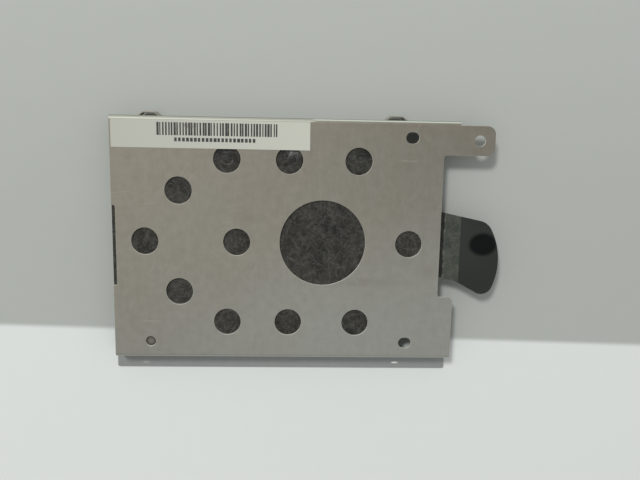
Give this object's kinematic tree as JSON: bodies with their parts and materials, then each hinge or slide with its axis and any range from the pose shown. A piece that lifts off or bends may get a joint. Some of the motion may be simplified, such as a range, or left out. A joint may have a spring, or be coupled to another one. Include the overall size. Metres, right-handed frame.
{
  "type": "hard drive bracket",
  "caption": "Shallow folded sheet metal tray for a 2.5 inch drive, with air holes, a screw ear, a fibre insulating sheet and a film pull tab",
  "frame": {"origin": "centre of the bounding box in X and Y, on the plane of the flange edge and the foot", "axes": "+Z is the outward normal of the tray's outer face, +X points to the drive's connector end, +Y to the flange beside the ear"},
  "size_m": [0.116, 0.0784, 0.0076],
  "materials": {
    "sheet_steel": "dull rolled sheet steel, satin, with faint scuffs",
    "fibre_sheet": "dark grey non-woven fibre sheet, matt",
    "film": "thin dark polyester film, glossy",
    "label_paper": "white paper label with plain printed bars"
  },
  "bodies": {
    "root": {"tray": "sheet_steel", "insulator": "fibre_sheet", "pull_tab": "film", "label": "label_paper"}
  },
  "joints": []
}
